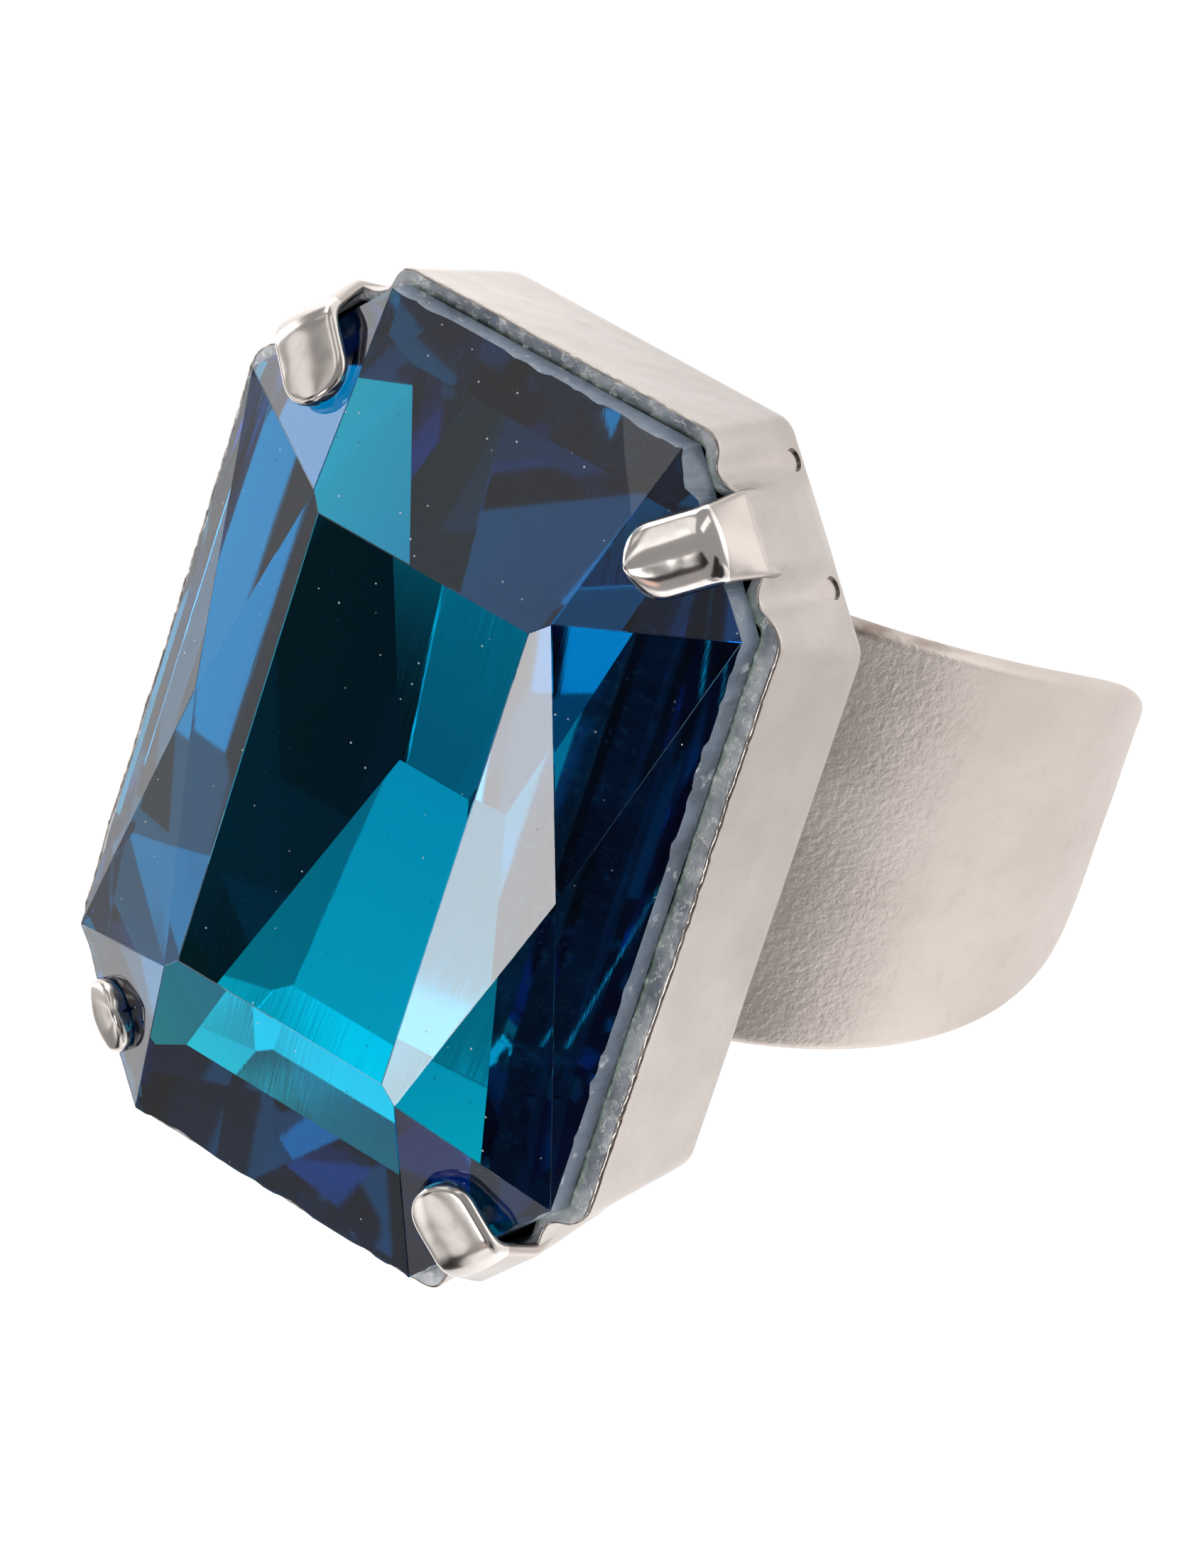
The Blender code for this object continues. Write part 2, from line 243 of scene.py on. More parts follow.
def plated_metal(name, polish=0.0, satin=0.0):
    """Nickel plate: cloudy sheen, fine grain, hairlines, pits and handling marks.

    Polish makes it glossier, from 0 to 1, and satin duller. The band's plate is also grainy
    near the cup, and worn through on one edge.
    """
    n = Surface(name)
    on_band = name == "plated_metal_band"
    first_tone, second_tone, dull_tone = PLATE_TONES[name]
    clouds = n.noise(260.0, 3.0, 0.6, n.mapped((1.0, 1.0, 0.45)) if satin else None)
    fine = n.noise(5200.0, 3.0, 0.7)
    marks = n.noise(1500.0, 5.0, 0.65)
    hairs = n.scratches(900.0, (14.0, 0.5, 1.0), 0.66, 0.74)
    hairs_across = n.scratches(1100.0, (0.6, 12.0, 1.5), 0.67, 0.76)
    pits = n.span(n.cells(900.0), 0.03, 0.06, 1.0, 0.0)
    tone = n.blend(n.span(clouds, 0.35, 0.65), first_tone, second_tone)
    tone = n.blend(n.maths("MULTIPLY", n.span(marks, 0.55, 0.8), 0.35), tone, dull_tone)
    if on_band:
        tone = n.blend(bare_edge(n), tone, BARE_METAL)
    n.set(Base_Color=tone, Metallic=1.0 - SATIN_SCATTER * satin)
    rough = n.span(clouds, 0.3, 0.7, 0.18 - 0.12 * polish + satin, 0.27 - 0.18 * polish + satin)
    rough = n.maths("ADD", rough, n.span(marks, 0.5, 0.8, 0.0, 0.07))
    rough = n.maths("ADD", rough, n.maths("MULTIPLY", hairs, 0.06))
    n.set(Roughness=rough)
    normal = n.bump(clouds, 0.12 - 0.1 * polish - 0.25 * satin, 0.2 * MM)
    normal = n.bump(fine, 0.18 - 0.15 * polish, 0.004 * MM, normal)
    normal = n.bump(n.maths("ADD", hairs, hairs_across), -0.06, 0.004 * MM, normal)
    if on_band:
        grain = n.maths("MULTIPLY", n.noise(4200.0, 3.0, 0.6), near_cup(n))
        normal = n.bump(grain, 0.8, 0.05 * MM, normal)
    normal = n.bump(pits, -0.25, 0.01 * MM, normal)
    n.set(Normal=normal)
    return n.material


def lip_metal(name):
    """The cup's turned-in edge: dull, grey, with filings, dust and dried polish."""
    n = Surface(name)
    patches = n.noise(500.0, 5.0, 0.65)
    bits = n.span(n.noise(2600.0, 4.0, 0.7), 0.52, 0.62)
    tone = n.blend(n.span(patches, 0.35, 0.65), (0.44, 0.46, 0.50, 1), (0.84, 0.84, 0.86, 1))
    n.set(Base_Color=n.blend(bits, tone, (0.95, 0.94, 0.92, 1)))
    n.set(Metallic=n.span(patches, 0.3, 0.7, 0.95, 0.6))
    n.set(Roughness=n.span(patches, 0.3, 0.7, 0.38, 0.60))
    n.set(Normal=n.bump(bits, 0.5, 0.03 * MM, n.bump(patches, 0.4, 0.06 * MM)))
    return n.material


def solder_metal(name):
    """Dull tin solder with a wavy frozen skin."""
    n = Surface(name)
    waves = n.noise(700.0, 5.0, 0.6)
    grain = n.noise(6000.0, 2.0, 0.6)
    n.set(Base_Color=n.blend(waves, (0.42, 0.41, 0.39, 1), (0.62, 0.60, 0.58, 1)), Metallic=1.0)
    n.set(Roughness=n.span(waves, 0.3, 0.7, 0.38, 0.58))
    n.set(Normal=n.bump(grain, 0.3, 0.01 * MM, n.bump(waves, 0.5, 0.08 * MM)))
    return n.material


GLASS_IOR = 1.56
ABSORB_COLOUR = (0.0, 0.911, 0.968, 1.0)
ABSORB_DENSITY = 800.0


def crystal_glass(name):
    """Clear teal glass: polished facets with dust, smears and hairlines."""
    n = Surface(name)
    smear = n.noise(420.0, 4.0, 0.6)
    specks = n.span(n.cells(1500.0), 0.035, 0.055, 1.0, 0.0)
    sparse = n.maths("MULTIPLY", specks, n.span(n.noise(420.0, 2.0), 0.38, 0.48))
    hairs = n.scratches(700.0, (10.0, 0.7, 1.0), 0.68, 0.74)
    n.set(Base_Color=n.blend(sparse, (1.0, 1.0, 1.0, 1), (0.75, 0.8, 0.85, 1)))
    n.set(IOR=GLASS_IOR, Metallic=0.0)
    n.set(Transmission_Weight=n.span(sparse, 0.0, 1.0, 1.0, 0.25))
    n.set(Roughness=n.maths("ADD", n.span(smear, 0.5, 0.75, 0.0, 0.03), n.maths("MULTIPLY", sparse, 0.4)))
    n.set(Normal=n.bump(hairs, -0.08, 0.002 * MM, n.bump(n.noise(150.0, 2.0), 0.03, 0.05 * MM)))
    n.absorb(ABSORB_COLOUR, ABSORB_DENSITY)
    return n.material


def crystal_girdle(name):
    """Ground edge of the stone: matt glass with chips and clear spots. Its dark slate tone is partly
    the glass's own and partly painted shade, of the gap between the stone and the cup.
    """
    n = Surface(name)
    grain = n.noise(3500.0, 4.0, 0.6)
    patches = n.noise(330.0, 4.0, 0.65)
    chips = n.span(n.noise(1300.0, 5.0, 0.7), 0.58, 0.66)
    # Dark slate tones: partly the glass's own, partly painted shade of the gap between stone and cup.
    tone = n.blend(n.span(patches, 0.36, 0.66), (0.07, 0.10, 0.15, 1), (0.26, 0.33, 0.42, 1))
    n.set(Base_Color=n.blend(chips, tone, (0.62, 0.66, 0.70, 1)), IOR=GLASS_IOR)
    n.set(Transmission_Weight=n.span(patches, 0.55, 0.7, 0.25, 0.8))
    n.set(Roughness=n.span(grain, 0.3, 0.7, 0.22, 0.45))
    n.set(Normal=n.bump(grain, 0.35, 0.02 * MM, n.bump(chips, -0.4, 0.03 * MM)))
    n.absorb(ABSORB_COLOUR, ABSORB_DENSITY)
    return n.material


def crystal_foil(name):
    """Mirror foil on the pavilion's facets, seen through the glass, with fine polishing lines."""
    n = Surface(name)
    lines = n.noise(900.0, 2.0, 0.5, n.mapped((18.0, 0.35, 1.0)))
    cloud = n.noise(300.0, 3.0)
    n.set(Base_Color=n.blend(cloud, (0.72, 0.95, 0.80, 1), (0.77, 0.98, 0.84, 1)), Metallic=1.0)
    n.set(Roughness=n.span(lines, 0.35, 0.7, 0.015, 0.05))
    n.set(Normal=n.bump(lines, 0.05, 0.004 * MM))
    return n.material


# The paper's glow, painted light: it grows from near the ring outwards, dim near the ring as a
# painted shadow of it, is uneven from there, and fades far off.
GLOW_NEAR = 16 * MM
GLOW_FAR = 42 * MM
GLOW_LOW = 0.74
GLOW_HIGH = 1.22
GLOW_RIPPLE = 0.42
FADE_NEAR = 90 * MM
FADE_FAR = 220 * MM
FADE_LOW = 0.78


def floor_paper(name):
    """White seamless paper with painted light: self-lit like a light table, with four brighter and
    four darker ways.

    8 t (1 - t), where t is the squared share of X in the way out, runs from 0 to 2 and back
    in each quarter turn.
    """
    n = Surface(name)
    fibre = n.noise(400.0, 4.0, 0.6)
    n.set(Base_Color=n.blend(fibre, grey(0.86), grey(0.90)), Roughness=0.8)
    away = n.add("ShaderNodeVectorMath", [(0, n.place)], operation="LENGTH").outputs["Value"]
    # Dimmer near the ring: a painted shadow of the ring.
    base = n.span(away, GLOW_NEAR, GLOW_FAR, GLOW_LOW, GLOW_HIGH)
    # Four brighter and four darker ways: painted light.
    turn = n.maths("POWER", n.maths("DIVIDE", n.axis("X"), away), 2.0)
    petals = n.maths("MULTIPLY", n.maths("MULTIPLY", turn, n.maths("SUBTRACT", 1.0, turn)), 8.0)
    ripple = n.span(away, GLOW_NEAR, GLOW_FAR, 0.0, GLOW_RIPPLE)
    lobes = n.maths("MULTIPLY", n.maths("SUBTRACT", petals, 1.0), ripple)
    fade = n.span(away, FADE_NEAR, FADE_FAR, 1.0, FADE_LOW)
    glow = n.maths("MULTIPLY", n.maths("MULTIPLY", base, n.maths("ADD", lobes, 1.0)), fade)
    n.set(Emission_Color=n.blend(fibre, grey(0.97), grey(1.0)), Emission_Strength=glow)
    n.set(Normal=n.bump(fibre, 0.1, 0.05 * MM))
    return n.material


# -------------------------------------------------------------------- geometry


def linked(name, mesh, *finishes):
    """A new object in the scene, with its materials."""
    for finish in finishes:
        mesh.materials.append(finish)
    obj = bpy.data.objects.new(name, mesh)
    bpy.context.scene.collection.objects.link(obj)
    return obj


def mesh_from(bm, name, slots=0):
    """A mesh made from a bmesh, which it uses up, with some material slots still empty."""
    mesh = bpy.data.meshes.new(name)
    for _ in range(slots):
        mesh.materials.append(None)
    bm.to_mesh(mesh)
    bm.free()
    return mesh


def add_skin(bm, rings):
    """Faces between rings of points, and on the first ring and the last, all facing out."""
    made = [[bm.verts.new(point) for point in ring] for ring in rings]
    for low, high in zip(made, made[1:]):
        for i in range(len(low)):
            after = (i + 1) % len(low)
            bm.faces.new((low[i], low[after], high[after], high[i]))
    bm.faces.new(made[0][::-1])
    bm.faces.new(made[-1])
    bmesh.ops.recalc_face_normals(bm, faces=bm.faces)


def waved(value, place, waves):
    """Adds noises to a value: each has a height in mm, waves per mm and a start."""
    for size, often, start in waves:
        value += size * MM * noise.noise(place * often + Vector(start))
    return value


def smooth(value):
    """0 below 0, 1 above 1 and an S-curve between."""
    value = min(max(value, 0.0), 1.0)
    return value * value * (3 - 2 * value)


def corner_normal():
    """The way out of the stone's +X +Y corner edge."""
    return Vector((CORNER_CUT_Y, CORNER_CUT_X, 0)).normalized()


def stone_corner_distance():
    """How far the stone's corner edges lie from its middle."""
    edge_point = Vector((STONE_HALF_X - CORNER_CUT_X, STONE_HALF_Y, 0))
    return edge_point.dot(corner_normal())


# Depth of the block that the pavilion is ground from, and the bevel along the crown's edges.
BLANK_DEPTH = 6.0 * MM
FACET_EDGE = 0.02 * MM

# Tolerances: of angle, of place, and of a face's normal that stands upright or faces up.
SAME_PLANE = radians(0.2)
SAME_PLACE = 0.002 * MM
ON_PLANE = 1e-8
ON_EDGE = 1e-6
CROWN_ABOVE = -1e-5
UPRIGHT = 0.02
FACES_UP = 0.3
FOIL_FACES_DOWN = -0.2

# Pavilion facets: azimuth, slope, how far outside the girdle the plane passes. Each is mirrored.
# They weren't chosen by hand: a scratch program searched for the reflections that the photo shows,
# and this is its result, rounded.
CORNER_AZIMUTH = atan2(CORNER_CUT_X, CORNER_CUT_Y)
PAVILION = (
    (0.0, 1.616, 0.0),
    (0.0, 0.905, 4.84 * MM),
    (0.0, 0.479, 0.57 * MM),
    (pi / 2, 0.754, 0.0),
    (pi / 2, 0.509, 10.34 * MM),
    (pi / 2, 0.168, 10.6 * MM),
    (CORNER_AZIMUTH, 1.532, 0.0),
    (CORNER_AZIMUTH, 0.38, 9.3 * MM),
    (0.179, 0.534, 1.87 * MM),
    (1.171, 0.626, 8.5 * MM),
)

# Nicks along the stone's widest edge, in mm: how many per mm, where their noise starts, how much
# of it is cut away, and their depth. A point every CHIP_STEP carries them.
CHIP_STEP = 0.22 * MM
CHIPS = (
    (1.3, (0, 0, 0), 0.08, 0.20),
    (0.5, (3, 8, 1), 0.22, 0.45),
    (3.1, (1, 4, 9), 0.25, 0.12),
)


def octagon(half_x, half_y, corner_distance):
    """Corner points, anticlockwise, of a rectangle whose corner lines lie at corner_distance."""
    normal = corner_normal()
    x_at_end = (corner_distance - normal.y * half_y) / normal.x
    y_at_side = (corner_distance - normal.x * half_x) / normal.y
    return [
        (half_x, -y_at_side),
        (half_x, y_at_side),
        (x_at_end, half_y),
        (-x_at_end, half_y),
        (-half_x, y_at_side),
        (-half_x, -y_at_side),
        (-x_at_end, -half_y),
        (x_at_end, -half_y),
    ]


def crown_points():
    """The crown's corners, and the same outline at the bottom of the block."""
    end_slope = CROWN_HEIGHT / (STONE_HALF_Y - TABLE_HALF_Y)
    tip_z = end_slope * (STONE_HALF_Y - CORNER_TIP_Y)
    tip_x = TABLE_HALF_X + (CROWN_HEIGHT - tip_z) / UPPER_SIDE_SLOPE
    star_z = CROWN_HEIGHT - UPPER_SIDE_SLOPE * (SIDE_STAR_X - TABLE_HALF_X)
    points = []
    for sx in (1, -1):
        points.append((sx * SIDE_STAR_X, 0, star_z))
        for sy in (1, -1):
            points.append((sx * TABLE_HALF_X, sy * TABLE_HALF_Y, CROWN_HEIGHT))
            points.append((sx * tip_x, sy * CORNER_TIP_Y, tip_z))
    outline = octagon(STONE_HALF_X, STONE_HALF_Y, stone_corner_distance())
    points += [(x, y, 0) for x, y in outline]
    points += [(x, y, -BLANK_DEPTH) for x, y in outline]
    return points


def girdle_reach(azimuth):
    """How far the girdle's outline reaches in a direction."""
    across = abs(cos(azimuth))
    along = abs(sin(azimuth))
    first = across * (STONE_HALF_X - CORNER_CUT_X) + along * STONE_HALF_Y
    second = across * STONE_HALF_X + along * (STONE_HALF_Y - CORNER_CUT_Y)
    return max(first, second)


def cut_facet(bm, azimuth, slope, outside):
    """Grinds one pavilion facet: keeps what lies inside its plane, and closes the cut."""
    normal = Vector((slope * cos(azimuth), slope * sin(azimuth), -1)).normalized()
    reach = girdle_reach(azimuth) + outside
    point = Vector((reach * cos(azimuth), reach * sin(azimuth), -GIRDLE_HEIGHT))
    cut = bmesh.ops.bisect_plane(
        bm,
        geom=bm.verts[:] + bm.edges[:] + bm.faces[:],
        plane_co=point,
        plane_no=normal,
        clear_outer=True,
        dist=ON_PLANE,
    )
    edges = [e for e in cut["geom_cut"] if isinstance(e, bmesh.types.BMEdge) and e.is_boundary]
    if edges:
        bmesh.ops.contextual_create(bm, geom=edges)


def chip_edge(bm):
    """Small nicks along the stone's widest edge: points slide up their own crown facet."""
    bm.normal_update()
    for side in [f for f in bm.faces if abs(f.normal.z) < UPRIGHT and f.calc_area() > MM * MM]:
        way = Vector((-side.normal.y, side.normal.x, 0)).normalized()
        reach = sorted(vert.co.dot(way) for vert in side.verts)
        count = int((reach[-1] - reach[0]) / CHIP_STEP)
        last = side
        for step in range(1, count):
            cut = reach[0] + (reach[-1] - reach[0]) * step / count
            parts = [last] + list(last.edges) + list(last.verts)
            made = bmesh.ops.bisect_plane(bm, geom=parts, plane_co=way * cut, plane_no=way)
            faces = [part for part in made["geom"] if isinstance(part, bmesh.types.BMFace)]
            last = max(faces, key=lambda face: face.calc_center_median().dot(way))
    bm.normal_update()
    for vert in [v for v in bm.verts if abs(v.co.z) < FACET_EDGE]:
        facets = [face for face in vert.link_faces if face.normal.z > FACES_UP]
        if len(facets) != 1:
            continue
        normal = facets[0].normal
        uphill = Vector((-normal.x * normal.z, -normal.y * normal.z, normal.x**2 + normal.y**2))
        place = vert.co / MM
        nick = 0.0
        for often, start, missing, depth in CHIPS:
            nick += max(0.0, noise.noise(place * often + Vector(start)) - missing) * depth
        vert.co += uphill.normalized() * nick * MM


def make_crystal():
    """The faceted stone: hull of the crown, ground pavilion, fine bevels, nicked edge."""
    bm = bmesh.new()
    for point in crown_points():
        bm.verts.new(point)
    bmesh.ops.convex_hull(bm, input=bm.verts)
    bmesh.ops.dissolve_limit(bm, angle_limit=SAME_PLANE, verts=bm.verts, edges=bm.edges)
    for azimuth, slope, outside in PAVILION:
        directions = {
            round(atan2(sy * sin(azimuth), sx * cos(azimuth)), 6) % round(2 * pi, 6)
            for sx in (1, -1)
            for sy in (1, -1)
        }
        for direction in sorted(directions):
            cut_facet(bm, direction, slope, outside)
    bmesh.ops.remove_doubles(bm, verts=bm.verts, dist=SAME_PLACE)
    bmesh.ops.dissolve_limit(bm, angle_limit=SAME_PLANE, verts=bm.verts, edges=bm.edges)
    crown_edges = [
        e
        for e in bm.edges
        if min(v.co.z for v in e.verts) > -ON_EDGE and max(v.co.z for v in e.verts) > FACET_EDGE
    ]
    bmesh.ops.bevel(bm, geom=crown_edges, offset=FACET_EDGE, segments=1, affect="EDGES", profile=0.5)
    chip_edge(bm)
    bmesh.ops.recalc_face_normals(bm, faces=bm.faces)
    for face in bm.faces:
        if face.calc_center_median().z > CROWN_ABOVE:
            face.material_index = 0
        elif face.normal.z > FOIL_FACES_DOWN:
            face.material_index = 1
        else:
            face.material_index = 2
    bmesh.ops.translate(bm, verts=bm.verts, vec=(0, 0, EDGE_Z))
    finishes = (crystal_glass("crystal_glass"), crystal_girdle("crystal_girdle"))
    mesh = mesh_from(bm, "crystal")
    crystal = linked("cut_crystal", mesh, *finishes, crystal_foil("crystal_foil"))
    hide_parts("crystal")
    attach(crystal, "root")


# ------------------------------------------------------------------------- cup

# The cup's wall is pushed out behind each prong, and creased on both sides of it.
WALL_BULGE = 0.35 * MM
BULGE_FLAT = 0.85 * MM
BULGE_END = 1.6 * MM
BULGE_AT_FLOOR = 0.55
BULGE_RISE = 0.45
CORNER_ZONE = -3 * MM
CREASE_PLACE = 1.95 * MM
CREASE_SPREAD = 0.5 * MM
CREASE_DEPTH = 0.32 * MM
CREASE_RISE = 1.4

# Outline: its rounded corners, and the points along each side between them.
OUTLINE_ROUND = 0.9 * MM
LEAST_ROUND = 0.4 * MM
ARC_STEPS = 6
EDGE_STEPS = (180, 70, 104, 70, 180, 70, 104, 70)

# Section: a wall slightly thinner than the CAD's, its rows of points, and its rounded corners.
CUP_WALL = 0.26 * MM
FLOOR_ROUND = 0.5 * MM
FLOOR_ROUND_STEPS = 5
WALL_ROWS = 22
LIP_BURR = 0.09 * MM
LIP_BURR_STEPS = 4
POCKET_ROWS = 12
POCKET_ROUND = 0.3 * MM
POCKET_ROUND_STEPS = 3
FLOOR_SHARES = (0.85, 0.6, 0.3, 0.02)

# The turned-in rim, in mm: how far in from the wall's face, and how far below the top. On the
# long sides it reaches further in.
LIP_TURN = (
    (0.12, 0.01),
    (0.25, 0.03),
    (0.40, 0.05),
    (0.53, 0.09),
    (0.58, 0.18),
    (0.48, 0.34),
    (0.33, 0.48),
)
SIDE_LIP = 1.5

# Unevenness: (height in mm, waves per mm, start of the noise).
WALL_WAVES = ((0.035, 0.33, (0, 0, 0)), (0.012, 1.3, (7, 3, 1)))
RIM_WAVES = ((0.07, 0.45, (2, 9, 4)), (0.03, 2.1, (5, 1, 8)), (0.03, 4.6, (5, 7, 3)))
BURR_HEIGHT = 0.16 * MM
BURR_OFTEN = 3.1
BURR_START = Vector((11, 6, 2))
BURR_MISSING = 0.3

# Heights above the floor where the wall's unevenness and the rim's set in, and how gradually.
WALL_WAVES_FROM = 0.1 * MM
WALL_WAVES_OVER = 1.2 * MM
RIM_WAVES_FROM = 3.2 * MM
RIM_WAVES_OVER = 1.9 * MM


def rounded_outline(half_x, half_y, corner_distance, radius):
    """Points round an octagon with arcs for corners: the same count whatever its size."""
    corners = [Vector(corner) for corner in octagon(half_x, half_y, corner_distance)]
    count = len(corners)
    ways = [(corners[(i + 1) % count] - corners[i]).normalized() for i in range(count)]
    arcs = []
    for i, corner in enumerate(corners):
        arriving = ways[i - 1]
        turn = arriving.angle(ways[i])
        start = corner - arriving * radius * tan(turn / 2)
        centre = start + Vector((-arriving.y, arriving.x)) * radius
        spoke = start - centre
        arc = []
        for step in range(ARC_STEPS + 1):
            angle = turn * step / ARC_STEPS
            x = spoke.x * cos(angle) - spoke.y * sin(angle)
            y = spoke.x * sin(angle) + spoke.y * cos(angle)
            arc.append(centre + Vector((x, y)))
        arcs.append(arc)
    points = []
    for i, arc in enumerate(arcs):
        points += arc
        start = arc[-1]
        end = arcs[(i + 1) % count][0]
        steps = EDGE_STEPS[i]
        points += [start.lerp(end, step / steps) for step in range(1, steps)]
    return points


def cup_ring(inset, height):
    """The cup's outline at a height above its floor, moved in by inset."""
    draft = 1 - height / CUP_HEIGHT
    distance = stone_corner_distance() + CUP_CORNER_GAP - CUP_CORNER_DRAFT * draft - inset
    half_y = CUP_HALF_Y - CUP_END_DRAFT * draft - inset
    radius = max(OUTLINE_ROUND - inset, LEAST_ROUND)
    return rounded_outline(CUP_HALF_X - inset * SIDE_LIP, half_y, distance, radius)


def cup_profile():
    """(inset, height) from the underside, up the wall, over the turned-in lip, into the pocket."""
    rows = []
    for step in range(FLOOR_ROUND_STEPS + 1):
        angle = pi / 2 * step / FLOOR_ROUND_STEPS
        rows.append((FLOOR_ROUND * (1 - sin(angle)), FLOOR_ROUND * (1 - cos(angle))))
    top = CUP_HEIGHT - LIP_BURR
    for step in range(1, WALL_ROWS):
        rows.append((0.0, FLOOR_ROUND + (top - FLOOR_ROUND) * step / WALL_ROWS))
    for step in range(LIP_BURR_STEPS + 1):
        angle = pi / 2 * step / LIP_BURR_STEPS
        rows.append((LIP_BURR * (1 - cos(angle)), top + LIP_BURR * sin(angle)))
    rows += [(inset * MM, CUP_HEIGHT - drop * MM) for inset, drop in LIP_TURN]
    pocket_low = CUP_FLOOR + POCKET_ROUND
    pocket_high = CUP_HEIGHT - LIP_TURN[-1][1] * MM
    for step in range(1, POCKET_ROWS + 1):
        share = step / POCKET_ROWS
        rows.append((CUP_WALL, pocket_high + (pocket_low - pocket_high) * share))
    for step in range(1, POCKET_ROUND_STEPS + 1):
        angle = pi / 2 * step / POCKET_ROUND_STEPS
        inset = CUP_WALL + POCKET_ROUND * (1 - cos(angle))
        rows.append((inset, CUP_FLOOR + POCKET_ROUND * (1 - sin(angle))))
    return rows


def corner_offsets(x, y):
    """Distance along and out of the nearest corner wall, from the middle of the stone's edge."""
    normal = corner_normal()
    middle = Vector((STONE_HALF_X - CORNER_CUT_X / 2, STONE_HALF_Y - CORNER_CUT_Y / 2, 0))
    away = Vector((abs(x), abs(y), 0)) - middle
    along = away.y * normal.x - away.x * normal.y
    return along, away.dot(normal)


def wall_push(x, y, height):
    """How far the stamped wall stands out: pushed out by each prong, creased beside it, wavy."""
    along, out = corner_offsets(x, y)
    push = 0.0
    if out > CORNER_ZONE:
        rise = BULGE_AT_FLOOR + BULGE_RISE * smooth(height / CUP_HEIGHT)
        flat = 1 - smooth((abs(along) - BULGE_FLAT) / (BULGE_END - BULGE_FLAT))
        push += WALL_BULGE * flat * rise
        crease = (abs(along) - CREASE_PLACE) / CREASE_SPREAD
        push -= CREASE_DEPTH * exp(-crease * crease) * smooth(height / CUP_HEIGHT * CREASE_RISE)
    return waved(push, Vector((x, y, height)) / MM, WALL_WAVES)


def rim_shift(x, y):
    """The sheared rim: slightly wavy, with small burrs."""
    place = Vector((x, y, 0)) / MM
    burr = noise.noise(place * BURR_OFTEN + BURR_START)
    return waved(0.0, place, RIM_WAVES) + BURR_HEIGHT * max(0.0, burr - BURR_MISSING)


def cup_rows():
    """Rings of points up the outside of the cup, over its rim and down its inside."""
    rows = []
    for inset, height in cup_profile():
        ring = cup_ring(inset, height)
        row = []
        count = len(ring)
        for i, point in enumerate(ring):
            tangent = (ring[(i + 1) % count] - ring[i - 1]).normalized()
            outwards = Vector((tangent.y, -tangent.x))
            grip = smooth((height - WALL_WAVES_FROM) / WALL_WAVES_OVER)
            moved = point + outwards * wall_push(point.x, point.y, height) * grip
            near_rim = smooth((height - RIM_WAVES_FROM) / RIM_WAVES_OVER)
            lift = rim_shift(point.x, point.y) * near_rim
            row.append((moved.x, moved.y, CUP_FLOOR_Z + height + lift))
        rows.append(row)
    return rows


def make_cup():
    """The cup's mesh, closed under its floor and inside. Its turned-in rim has material 2."""
    rows = cup_rows()
    bm = bmesh.new()
    under = [[(x * s, y * s, CUP_FLOOR_Z) for x, y, z in rows[0]] for s in FLOOR_SHARES[::-1]]
    inside_z = CUP_FLOOR_Z + CUP_FLOOR
    inside = [[(x * s, y * s, inside_z) for x, y, z in rows[-1]] for s in FLOOR_SHARES]
    add_skin(bm, under + rows + inside)
    rows_before = len(FLOOR_SHARES) + FLOOR_ROUND_STEPS + WALL_ROWS + LIP_BURR_STEPS
    first = rows_before * len(rows[0])
    for index, face in enumerate(bm.faces):
        if 0 <= index - first < (len(LIP_TURN) - 1) * len(rows[0]):
            face.material_index = 2
    return mesh_from(bm, "cup", slots=3)


# ---------------------------------------------------------------------- prongs


PRONG_WIDTH = 2.3 * MM
PRONG_THICKNESS = 0.42 * MM
PRONG_EDGE_ROUND = 0.19 * MM
PRONG_BEND_RADIUS = 0.75 * MM
PRONG_LIFT = 0.33 * MM
PRONG_ROOT_DEPTH = 1.1 * MM
PRONG_ROOT_SINK = 0.22 * MM
PRONG_BEND_STEPS = 14
PRONG_LINE_POINTS = 120
PRONG_LINE_EASING = 6
PRONG_ROWS = 70
PRONG_TIP_ROWS = 16
PRONG_COLUMNS = 30
PRONG_TIP_POWER = 2.4
PRONG_TWIST = 0.16
PRONG_FLARE = 0.16
PRONG_FLARE_LENGTH = 3.0 * MM
PRONG_WAVES = ((0.012, 0.7, (0, 0, 0)), (0.004, 2.2, (0, 0, 0)))
PRONG_LIFT_SPREAD = 0.06 * MM
PRONG_WIDTH_SPREAD = 0.03
TIP_ROUND = 1.1 * MM
TAB_ROWS = 31

# Shares of a prong's length: where its bend sets in, and how gradually.
BEND_FROM = 0.2
BEND_OVER = 0.35

# The last ring of a round end stays this near to a point without closing up.
TIP_SHARE = 0.9995
TIP_SLOPE = 0.9
LEAST_ROOM = 0.002 * MM

# How each prong was bent over: the two signs of its corner, roll, how much flatter than the
# facet, hollow of its edges, reach over the stone, lean of its stem.
PRONGS = (
    (1, 1, 0.05, radians(8), 0.42 * MM, 2.15 * MM, 0.3 * MM),
    (1, -1, 0.02, radians(12), 0.16 * MM, 2.05 * MM, 0.3 * MM),
    (-1, 1, 0.06, radians(12), 0.14 * MM, 2.15 * MM, 0.35 * MM),
    (-1, -1, 0.0, radians(8), 0.24 * MM, 1.35 * MM, 0.85 * MM),
)


def at_corner(side_x, side_y, out, across):
    """The point that lies so far out of a corner wall's middle, and across it."""
    normal = corner_normal()
    angle = atan2(side_y * normal.y, side_x * normal.x)
    middle_x = side_x * (STONE_HALF_X - CORNER_CUT_X / 2)
    middle_y = side_y * (STONE_HALF_Y - CORNER_CUT_Y / 2)
    x = middle_x + out * cos(angle) - across * sin(angle)
    y = middle_y + out * sin(angle) + across * cos(angle)
    return x, y


